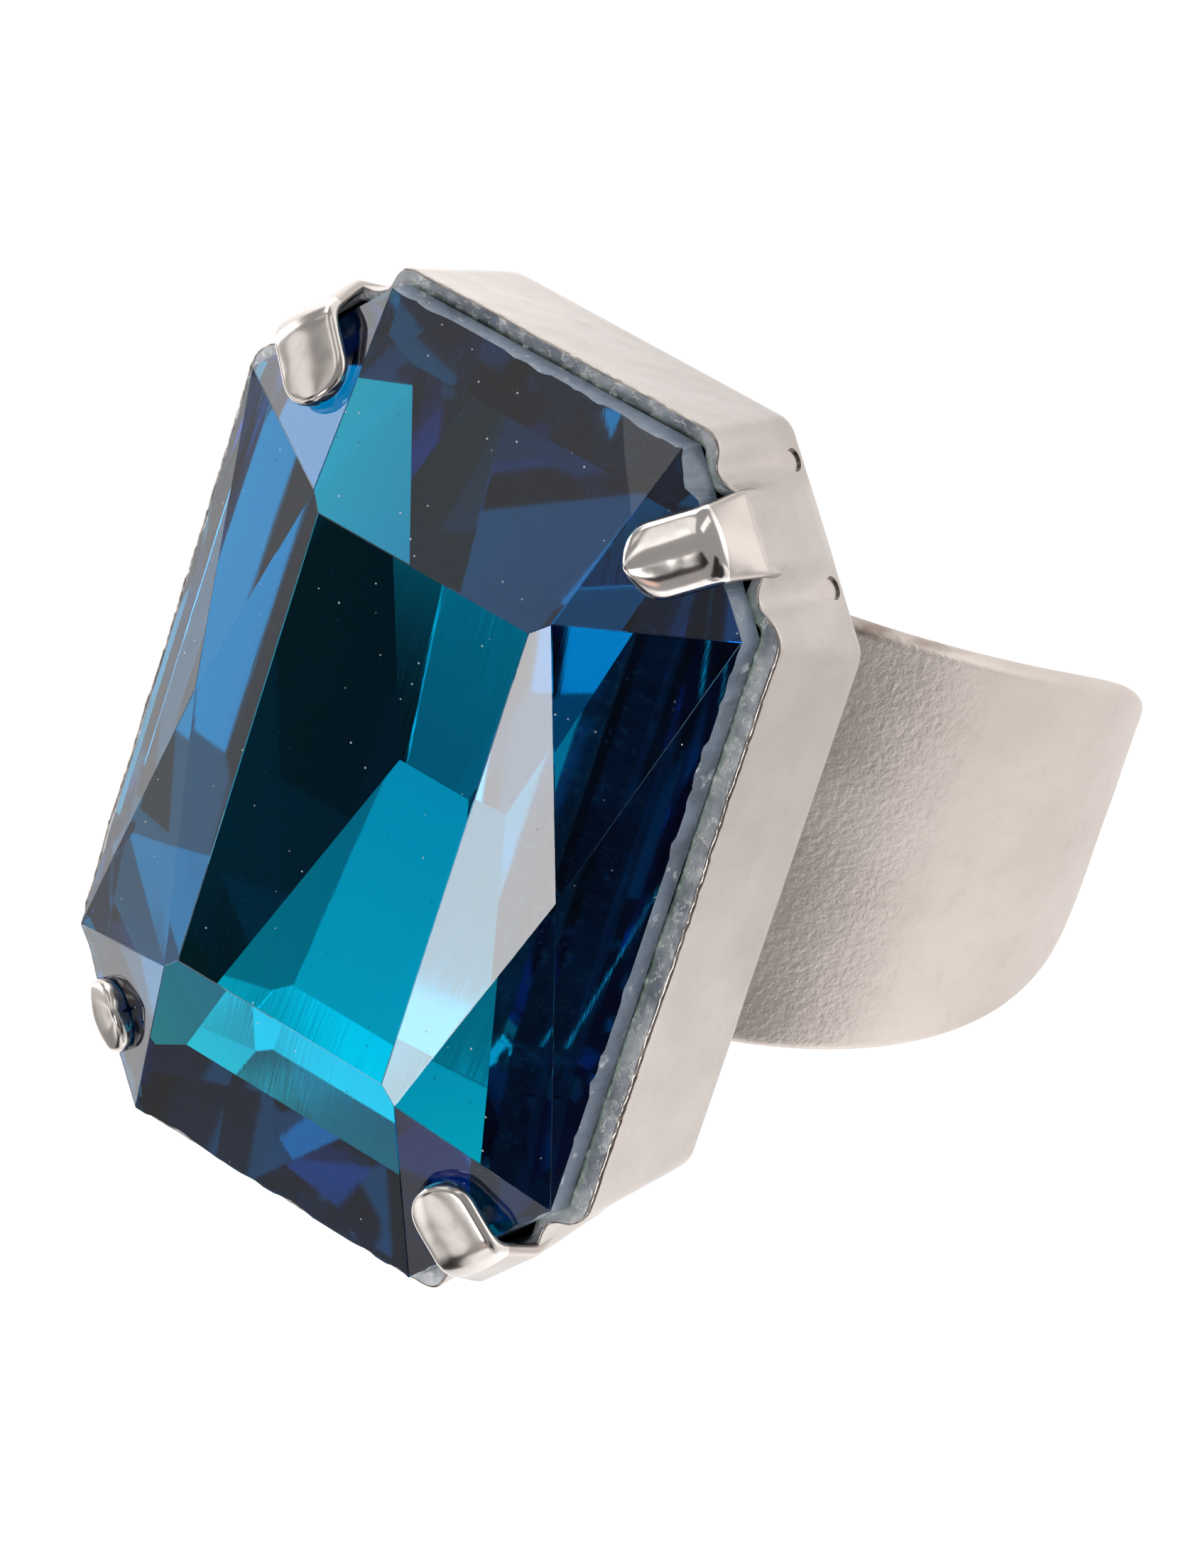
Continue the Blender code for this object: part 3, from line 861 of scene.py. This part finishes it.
def corner_slope_angle():
    """Angle of the crown's corner facets from the horizontal."""
    end_slope = CROWN_HEIGHT / (STONE_HALF_Y - TABLE_HALF_Y)
    tip_z = end_slope * (STONE_HALF_Y - CORNER_TIP_Y)
    tip_x = TABLE_HALF_X + (CROWN_HEIGHT - tip_z) / UPPER_SIDE_SLOPE
    tip_distance = Vector((tip_x, CORNER_TIP_Y, 0)).dot(corner_normal())
    return atan2(tip_z, stone_corner_distance() - tip_distance)


def fillet(before, corner, after, radius, steps):
    """Points of the arc that rounds a corner between two straight runs."""
    towards_before = (before - corner).normalized()
    towards_after = (after - corner).normalized()
    half_angle = towards_before.angle(towards_after) / 2
    start = corner + towards_before * radius / tan(half_angle)
    centre = corner + (towards_before + towards_after).normalized() * radius / sin(half_angle)
    spoke = start - centre
    turn = pi - 2 * half_angle
    points = []
    for step in range(steps + 1):
        angle = turn * step / steps
        x = spoke.x * cos(angle) - spoke.y * sin(angle)
        y = spoke.x * sin(angle) + spoke.y * cos(angle)
        points.append(centre + Vector((x, y)))
    return points


def prong_line(lift, reach, flatter, lean):
    """(out from the crown's corner edge, height above it) along the middle of one prong."""
    slope = corner_slope_angle()
    stem_foot = CUP_CORNER_GAP + WALL_BULGE - PRONG_THICKNESS / 2
    stem_top = stem_foot - lean
    rim_height = RIM_Z - EDGE_Z
    draft = CUP_CORNER_DRAFT / CUP_HEIGHT
    sunk = stem_foot - draft * PRONG_ROOT_DEPTH - PRONG_ROOT_SINK
    root = Vector((sunk, rim_height - PRONG_ROOT_DEPTH))
    rim = Vector((stem_foot, rim_height))
    tip_z = reach * tan(slope) + lift / cos(slope)
    bend_z = tip_z - (stem_top + reach) * tan(slope - flatter)
    tip = Vector((-reach, tip_z))
    bend = fillet(rim, Vector((stem_top, bend_z)), tip, PRONG_BEND_RADIUS, PRONG_BEND_STEPS)
    return [root, rim] + bend + [tip]


def walk(points, distance):
    """The place and the left-hand normal at a distance along a line of points."""
    for first, second in zip(points, points[1:]):
        size = (second - first).length
        if distance <= size or second is points[-1]:
            way = (second - first) / size
            return first + way * distance, Vector((-way.y, way.x))
        distance -= size


def smoothed(points):
    """Evenly spaced points along a line, with its corners eased, and its length."""
    total = sum((b - a).length for a, b in zip(points, points[1:]))
    count = PRONG_LINE_POINTS
    even = [walk(points, total * i / count)[0] for i in range(count + 1)]
    for _ in range(PRONG_LINE_EASING):
        middle = [(a + b * 2 + c) / 4 for a, b, c in zip(even, even[1:], even[2:])]
        even = [even[0]] + middle + [even[-1]]
    return even, total


def edge_share(distance, radius):
    """Half-thickness share near a rounded edge: 0 on the edge, 1 past the rounding."""
    gap = 1 - min(max(distance / radius, 0.0), 1.0)
    return sqrt(1 - gap * gap)


def make_prong(side_x, side_y, roll, flatter, hollow, reach, lean, seed):
    """One bent strip with a round tip and round edges, each a little different.

    Its tab over the stone is polished, material 1, with a painted highlight in its lighter tone,
    or worn, material 3.
    """
    rand = noise.noise(Vector((seed * 3.7, 1.3, 0.4)))
    twist = PRONG_TWIST * noise.noise(Vector((seed * 5.1, 4.4, 2.2)))
    lift = PRONG_LIFT + PRONG_LIFT_SPREAD * rand
    line, total = smoothed(prong_line(lift, reach, flatter, lean))
    half_width = PRONG_WIDTH / 2 * (1 + PRONG_WIDTH_SPREAD * rand)
    straight = total - TIP_ROUND
    stations = [straight * i / PRONG_ROWS for i in range(PRONG_ROWS)]
    for i in range(PRONG_TIP_ROWS + 1):
        stations.append(straight + TIP_ROUND * sin(pi / 2 * i / PRONG_TIP_ROWS) * TIP_SHARE)
    rows = []
    for station in stations:
        place, stonewards = walk(line, station)
        past = max(0.0, station - straight) / TIP_ROUND
        flare = 1 + PRONG_FLARE * (1 - smooth(station / PRONG_FLARE_LENGTH))
        width = half_width * flare * sqrt(1 - past**PRONG_TIP_POWER)
        bent = smooth((station / total - BEND_FROM) / BEND_OVER)
        faces = ([], [])
        for column in range(PRONG_COLUMNS + 1):
            share = sin(pi / 2 * (2 * column / PRONG_COLUMNS - 1))
            along = share * width
            room = min(width - abs(along), (total - station) * TIP_SLOPE + LEAST_ROOM)
            thick = PRONG_THICKNESS / 2 * edge_share(room, PRONG_EDGE_ROUND)
            wave = waved(0.0, Vector((along, station, seed * MM)) / MM, PRONG_WAVES)
            arch = (hollow * share * share - roll * along) * bent + wave
            skew = along + twist * (station - total / 2) * bent
            for face, sign in zip(faces, (-1, 1)):
                spot = place + stonewards * (sign * thick + arch)
                x, y = at_corner(side_x, side_y, spot.x, skew)
                face.append((x, y, EDGE_Z + spot.y))
        rows.append(faces[0] + faces[1][-2:0:-1])
    bm = bmesh.new()
    add_skin(bm, rows)
    tab_start = (PRONG_ROWS - TAB_ROWS) * len(rows[0])
    for index, face in enumerate(bm.faces):
        if index >= tab_start:
            face.material_index = 1 if side_x + side_y > 0 else 3
    return mesh_from(bm, "prong", slots=4)


# -------------------------------------------------------- thread holes, setting

SHARP_ANGLE = radians(42)
HOLE_RADIUS = 0.36 * MM
HOLE_LENGTH = 1.25 * MM
HOLE_SINK = 0.19 * MM
HOLE_SPREAD = 1.92 * MM
HOLE_HEIGHT = 0.9 * MM
HOLE_STEPS = 20
HOLE_TAPER = 0.55
CUTTER_LENGTH = 1.2 * MM


def hole_cutters():
    """Teardrop bars that bite into the corner walls, one each side of a prong."""
    bm = bmesh.new()
    draft = CUP_CORNER_DRAFT * (1 - (HOLE_HEIGHT + HOLE_LENGTH / 3) / CUP_HEIGHT)
    dent_out = CUP_CORNER_GAP - draft - HOLE_SINK
    for side_x, side_y in ((1, 1), (1, -1), (-1, 1), (-1, -1)):
        for along in (HOLE_SPREAD, -HOLE_SPREAD):
            rings = []
            for out in (dent_out, dent_out + CUTTER_LENGTH):
                ring = []
                for step in range(HOLE_STEPS):
                    turn = 2 * pi * step / HOLE_STEPS
                    across = HOLE_RADIUS * cos(turn) * (1 - HOLE_TAPER * max(0.0, sin(turn)))
                    z = HOLE_RADIUS * min(sin(turn), 0.0)
                    z += (HOLE_LENGTH - HOLE_RADIUS) * max(sin(turn), 0.0)
                    x, y = at_corner(side_x, side_y, out, along + across)
                    ring.append((x, y, CUP_FLOOR_Z + HOLE_HEIGHT + z))
                rings.append(ring)
            add_skin(bm, rings)
    return mesh_from(bm, "hole_cutters")


def dented(cup_mesh):
    """The cup's mesh with the thread holes' shallow dents cut into its corner walls."""
    cup = bpy.data.objects.new("cup_blank", cup_mesh)
    cutter = bpy.data.objects.new("hole_cutters", hole_cutters())
    for obj in (cup, cutter):
        bpy.context.scene.collection.objects.link(obj)
    cut = cup.modifiers.new("holes", "BOOLEAN")
    cut.operation = "DIFFERENCE"
    cut.object = cutter
    cut.solver = "EXACT"
    view = bpy.context.evaluated_depsgraph_get()
    mesh = bpy.data.meshes.new_from_object(cup.evaluated_get(view))
    for obj in (cup, cutter):
        bpy.data.objects.remove(obj, do_unlink=True)
    return mesh


def make_setting(wall, polished_painted_highlight_tab, rim, worn_tab):
    """The cup with its dents and its four prongs, as one piece with four finishes."""
    bm = bmesh.new()
    bm.from_mesh(dented(make_cup()))
    for seed, bending in enumerate(PRONGS, 1):
        bm.from_mesh(make_prong(*bending, seed))
    mesh = mesh_from(bm, "stamped_setting")
    mesh.shade_smooth()
    mesh.set_sharp_from_angle(angle=SHARP_ANGLE)
    setting = linked("stamped_setting", mesh, wall, polished_painted_highlight_tab, rim, worn_tab)
    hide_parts("prong_setting")
    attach(setting, "root")


# ------------------------------------------------------------- band and solder

BAND_EDGE_ROUND = 0.3 * MM
BAND_ROWS = 260
BAND_COLUMNS = 64
BAND_TIP_SHARE = 0.99995
BAND_WAVES = ((0.05, 0.22, (0, 0, 0)), (0.012, 0.9, (0, 0, 0)))
LEAST_SLOPE = 1e-9


def make_band(metal):
    """An open strip with rounded edges, slightly uneven, bent round the finger.

    Its outline has round ends: along squared and across cubed, as shares of the half-length and
    the half-width, add up to 1.
    """
    rows = []
    middle = BAND_RADIUS - BAND_THICKNESS / 2
    for step in range(BAND_ROWS + 1):
        share = sin(pi / 2 * (2 * step / BAND_ROWS - 1)) * BAND_TIP_SHARE
        angle = BAND_END_ANGLE * share
        width = BAND_HALF_WIDTH * (1 - share * share) ** (1 / 3)
        faces = ([], [])
        for column in range(BAND_COLUMNS + 1):
            across = width * sin(pi / 2 * (2 * column / BAND_COLUMNS - 1))
            inside = 1 - share * share - abs(across / BAND_HALF_WIDTH) ** 3
            slope_y = 3 * (across / BAND_HALF_WIDTH) ** 2 / BAND_HALF_WIDTH
            slope_a = 2 * abs(share) / (BAND_END_ANGLE * middle)
            room = max(inside, 0.0) / max(hypot(slope_y, slope_a), LEAST_SLOPE)
            thick = BAND_THICKNESS / 2 * edge_share(room, BAND_EDGE_ROUND)
            spot = Vector((sin(angle) * middle, across, cos(angle) * middle)) / MM
            wave = waved(0.0, spot, BAND_WAVES)
            y = BAND_MIDDLE_Y + across
            for face, sign in zip(faces, (1, -1)):
                radius = middle + sign * thick + wave * smooth(room / MM)
                face.append((radius * sin(angle), y, radius * cos(angle)))
        rows.append(faces[0] + faces[1][-2:0:-1])
    bm = bmesh.new()
    add_skin(bm, rows)
    mesh = mesh_from(bm, "band_strip")
    mesh.shade_smooth()
    band = linked("band_strip", mesh, metal)
    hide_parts("band")
    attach(band, "root")


SOLDER_HALF_X = 3.3 * MM
SOLDER_HALF_Y = 6.3 * MM
SOLDER_SINK = 0.12 * MM
SOLDER_ROWS = 14
SOLDER_POINTS = 180
SOLDER_WAIST = 0.35 * MM
SOLDER_BLOBS = 0.14 * MM
SOLDER_BLOBS_OFTEN = 0.9
SOLDER_CAP_SHARES = (0.05, 0.35, 0.7, 0.9)

# Raggedness of its outline: share of its size, waves round it, start of the noise.
SOLDER_RAGGED = ((0.05, 2, 3), (0.03, 6, 8))


def make_solder(finish):
    """Frozen solder drawn up between the cup's floor and the band, hollow-sided and uneven."""
    rows = []
    levels = [(share, 0.0) for share in SOLDER_CAP_SHARES]
    levels += [(1.0, row / SOLDER_ROWS) for row in range(SOLDER_ROWS + 1)]
    levels += [(share, 1.0) for share in SOLDER_CAP_SHARES[::-1]]
    for share, level in levels:
        row = []
        for point in range(SOLDER_POINTS):
            turn = 2 * pi * point / SOLDER_POINTS
            shape = (abs(cos(turn)) ** 4 + abs(sin(turn)) ** 4) ** -0.25
            ragged = 1
            for part, often, start in SOLDER_RAGGED:
                ragged += part * noise.noise(Vector((cos(turn) * often, sin(turn) * often, start)))
            x = SOLDER_HALF_X * cos(turn) * shape * ragged * share
            y = SOLDER_HALF_Y * sin(turn) * shape * ragged * share
            if share == 1.0:
                waist = SOLDER_WAIST * sin(pi * level)
                blob = noise.noise(Vector((x, y, level * 2 * MM)) / MM * SOLDER_BLOBS_OFTEN)
                inwards = (waist + SOLDER_BLOBS * blob) / hypot(x, y)
                x -= x * inwards
                y -= y * inwards
            base = sqrt(BAND_RADIUS**2 - x * x) - SOLDER_SINK
            top = CUP_FLOOR_Z + SOLDER_SINK
            row.append((x, BAND_MIDDLE_Y + y, base + (top - base) * level))
        rows.append(row)
    bm = bmesh.new()
    add_skin(bm, rows)
    mesh = mesh_from(bm, "solder_fillet")
    mesh.shade_smooth()
    mesh.set_sharp_from_angle(angle=SHARP_ANGLE)
    solder = linked("solder_fillet", mesh, finish)
    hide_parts("solder_joint")
    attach(solder, "root")


# ----------------------------------------------------------------- stage, view

STAGE_CENTRE = Vector((0, 0, EDGE_Z))
FLOOR_HALF = 1.5
FLOOR_GAP = 0.02 * MM
BACKDROP = (0.93, 0.94, 0.95, 1.0)

# Light of the room, and the zones of it that are shaded: direction, width and height, as shares
# of the distance. A mirror facet that faces one looks dark. The same search placed the first four.
ROOM_LIGHT = 0.40
ZONE_EDGE = 0.03
ZONE_SHADE = 0.94
ZONE_AHEAD = 0.05
SHADED_ZONES = (
    ((0.823, -0.239, 0.516), 0.89, 0.25),
    ((0.358, -0.282, 0.890), 0.50, 0.47),
    ((0.913, -0.315, 0.261), 0.64, 0.36),
    ((-0.028, -0.958, 0.286), 0.50, 0.67),
    ((-0.465, -0.361, 0.808), 0.34, 0.34),
)

# Soft lights: direction, width and height as shares of the distance, radiance and colour. The
# same search placed the first eight. The radiance of some was changed.
LIGHT_DISTANCE = 0.7
WHITE = (1.0, 1.0, 1.0)
SOFTBOXES = (
    ("softbox_top", (0.168, -0.297, 0.940), 0.13, 0.35, 9.8, WHITE),
    ("softbox_left", (-0.997, -0.055, 0.056), 0.44, 0.72, 3.3, WHITE),
    ("card_above", (-0.453, 0.179, 0.874), 0.56, 0.29, 0.46, WHITE),
    ("card_far", (0.146, 0.884, 0.444), 0.20, 0.70, 1.12, WHITE),
    ("card_far_above", (-0.381, 0.553, 0.741), 0.40, 0.56, 0.75, WHITE),
    ("card_near_right", (0.315, -0.925, 0.215), 0.51, 0.75, 1.07, WHITE),
    ("card_near_above", (-0.453, -0.732, 0.508), 0.28, 0.29, 1.41, WHITE),
    ("softbox_far_left", (-0.689, 0.715, 0.119), 0.55, 0.65, 1.8, WHITE),
    ("card_right", (0.92, -0.36, 0.12), 1.0, 0.24, 0.9, WHITE),
    ("card_left", (-0.757, -0.102, 0.645), 0.32, 0.32, 1.0, WHITE),
    ("card_near_left", (-0.709, -0.577, 0.405), 0.40, 0.36, 1.0, WHITE),
    ("card_near", (-0.152, -0.66, 0.735), 0.32, 0.32, 1.0, WHITE),
    ("card_side_left", (-0.887, -0.38, 0.25), 0.22, 0.40, 0.4, WHITE),
    ("card_warm", (0.30, -0.62, 0.72), 0.16, 0.16, 0.7, (1.0, 0.55, 0.38)),
)

# Small cards in front of them, for single glints.
CARD_DISTANCE = 0.66
SMALL_CARDS = (
    ("card_low_right", (0.72, -0.58, 0.36), 0.15, 0.16, 0.75),
    ("card_right_near", (0.40, -0.80, 0.45), 0.12, 0.14, 0.6),
    ("card_top_left", (-0.20, -0.38, 0.90), 0.12, 0.12, 1.2),
    ("card_far_left", (-0.72, 0.40, 0.57), 0.20, 0.16, 0.5),
)


def add_light(name, direction, distance, width, height, radiance):
    """A softbox that faces the ring. Width and height are shares of its distance."""
    data = bpy.data.lights.new(name, "AREA")
    data.shape = "RECTANGLE"
    data.size = width * distance
    data.size_y = height * distance
    data.energy = radiance * data.size * data.size_y * pi
    light = bpy.data.objects.new(name, data)
    bpy.context.scene.collection.objects.link(light)
    towards = Vector(direction).normalized()
    light.location = STAGE_CENTRE + towards * distance
    light.rotation_euler = towards.to_track_quat("Z", "Y").to_euler()
    light.visible_camera = False
    return light


def make_stage():
    """A pale paper floor and the lights."""
    bm = bmesh.new()
    bmesh.ops.create_grid(bm, x_segments=8, y_segments=8, size=FLOOR_HALF)
    floor = linked("floor", mesh_from(bm, "floor"), floor_paper("floor_paper"))
    floor.location.z = CAD_LOW.z - FLOOR_GAP
    for name, direction, width, height, radiance, colour in SOFTBOXES:
        light = add_light(name, direction, LIGHT_DISTANCE, width, height, radiance)
        light.data.color = colour
    for name, direction, width, height, radiance in SMALL_CARDS:
        add_light(name, direction, CARD_DISTANCE, width, height, radiance)


def zone_mask(n, direction, width, height):
    """1 inside a rectangle of the room, seen from the ring, and 0 outside it, with a soft edge."""
    towards = Vector(direction).normalized()
    sideways = Vector((-towards.y, towards.x, 0)).normalized()
    upwards = towards.cross(sideways)
    place = n.add("ShaderNodeTexCoord").outputs["Generated"]
    parts = []
    for axis in (towards, sideways, upwards):
        dot = n.add("ShaderNodeVectorMath", [(0, place), (1, axis)], operation="DOT_PRODUCT")
        parts.append(dot.outputs["Value"])
    mask = n.maths("GREATER_THAN", parts[0], ZONE_AHEAD)
    for part, size in ((parts[1], width), (parts[2], height)):
        away = n.maths("ABSOLUTE", n.maths("DIVIDE", part, parts[0]))
        limits = [("From Min", size / 2 + ZONE_EDGE), ("From Max", size / 2 - ZONE_EDGE)]
        links = [("Value", away)] + limits
        edge = n.add("ShaderNodeMapRange", links, interpolation_type="SMOOTHSTEP")
        mask = n.maths("MULTIPLY", mask, edge.outputs[0])
    return mask


def make_room():
    """The room that the ring reflects, with its shaded zones, and a plain backdrop behind it."""
    world = bpy.data.worlds.new("studio")
    bpy.context.scene.world = world
    world.use_nodes = True
    n = Nodes(world.node_tree)
    shade = None
    for direction, width, height in SHADED_ZONES:
        mask = zone_mask(n, direction, width, height)
        shade = mask if shade is None else n.maths("MAXIMUM", shade, mask)
    lit = n.maths("SUBTRACT", 1.0, n.maths("MULTIPLY", shade, ZONE_SHADE))
    room = n.tree.nodes["Background"]
    n.put(room, "Strength", n.maths("MULTIPLY", lit, ROOM_LIGHT))
    n.put(room, "Color", grey(1.0))
    backdrop = n.add("ShaderNodeBackground", [("Color", BACKDROP), ("Strength", 1.0)])
    seen = n.add("ShaderNodeLightPath").outputs["Is Camera Ray"]
    links = [(0, seen), (1, room.outputs[0]), (2, backdrop.outputs[0])]
    both = n.add("ShaderNodeMixShader", links)
    n.put(n.tree.nodes["World Output"], "Surface", both.outputs[0])


def make_camera():
    """The camera at the viewing angle, rolled about its own axis."""
    data = bpy.data.cameras.new("camera")
    data.lens = CAMERA_LENS
    data.sensor_width = CAMERA_SENSOR
    data.clip_start = CAMERA_NEAR
    data.clip_end = CAMERA_FAR
    camera = bpy.data.objects.new("camera", data)
    bpy.context.scene.collection.objects.link(camera)
    level = cos(CAMERA_ELEVATION)
    back_x = sin(CAMERA_AZIMUTH) * level
    back_y = -cos(CAMERA_AZIMUTH) * level
    back = Vector((back_x, back_y, sin(CAMERA_ELEVATION)))
    right = Vector((cos(CAMERA_AZIMUTH), sin(CAMERA_AZIMUTH), 0))
    above = back.cross(right)
    turned_right = right * cos(CAMERA_ROLL) + above * sin(CAMERA_ROLL)
    turned_up = back.cross(turned_right)
    rotation = Matrix((turned_right, turned_up, back)).transposed()
    place = Matrix.Translation(CAMERA_TARGET + back * CAMERA_DISTANCE)
    camera.matrix_world = place @ rotation.to_4x4()
    bpy.context.scene.camera = camera


# ----------------------------------------------------------------------- build

scene = bpy.context.scene
scene.view_settings.view_transform = "Standard"
scene.cycles.glossy_bounces = 12
scene.cycles.max_bounces = 20

make_crystal()
wall_finish = plated_metal("plated_metal")
# The polished tab's lighter tones are a painted highlight.
polished_painted_highlight_finish = plated_metal("plated_metal_tab", polish=0.75)
worn_finish = plated_metal("plated_metal_worn", polish=0.3)
make_setting(wall_finish, polished_painted_highlight_finish, lip_metal("plated_metal_lip"), worn_finish)
make_band(plated_metal("plated_metal_band", satin=0.22))
make_solder(solder_metal("solder_metal"))
make_stage()
make_room()
make_camera()
